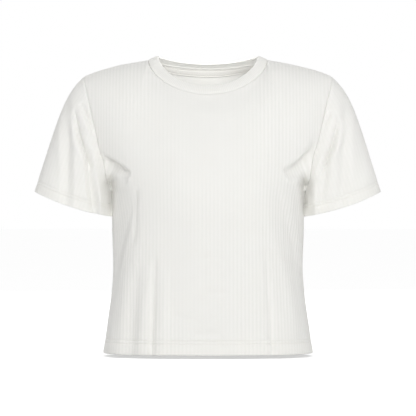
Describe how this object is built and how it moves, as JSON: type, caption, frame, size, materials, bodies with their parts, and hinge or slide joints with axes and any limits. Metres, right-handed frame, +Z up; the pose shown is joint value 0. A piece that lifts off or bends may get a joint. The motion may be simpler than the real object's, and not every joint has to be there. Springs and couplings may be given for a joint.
{
  "type": "crop top",
  "caption": "Short-sleeved crop top in fine vertical rib knit with a rib crew neck, set-in sleeves and turned hems, filled out as worn and open at neck, cuffs and hem.",
  "frame": {"origin": "Midway between the two points where the shoulder seams meet the neck band, level with the tops of the wearer's shoulders at the neck.", "axes": "+Z up, -Y the way the chest faces, +X the wearer's left, so +X runs from sleeve to sleeve. Worn pose, upright."},
  "size_m": [0.5636, 0.2291, 0.4835],
  "materials": {
    "body_rib": "matte off-white cotton rib knit",
    "neck_rib": "matte off-white cotton rib knit, double layer",
    "tape": "matte off-white cotton tape"
  },
  "bodies": {
    "root": {"front_panel": "body_rib", "back_panel": "body_rib", "sleeve_left": "body_rib", "sleeve_right": "body_rib", "neck_band": "neck_rib", "neck_tape": "tape"}
  },
  "joints": []
}
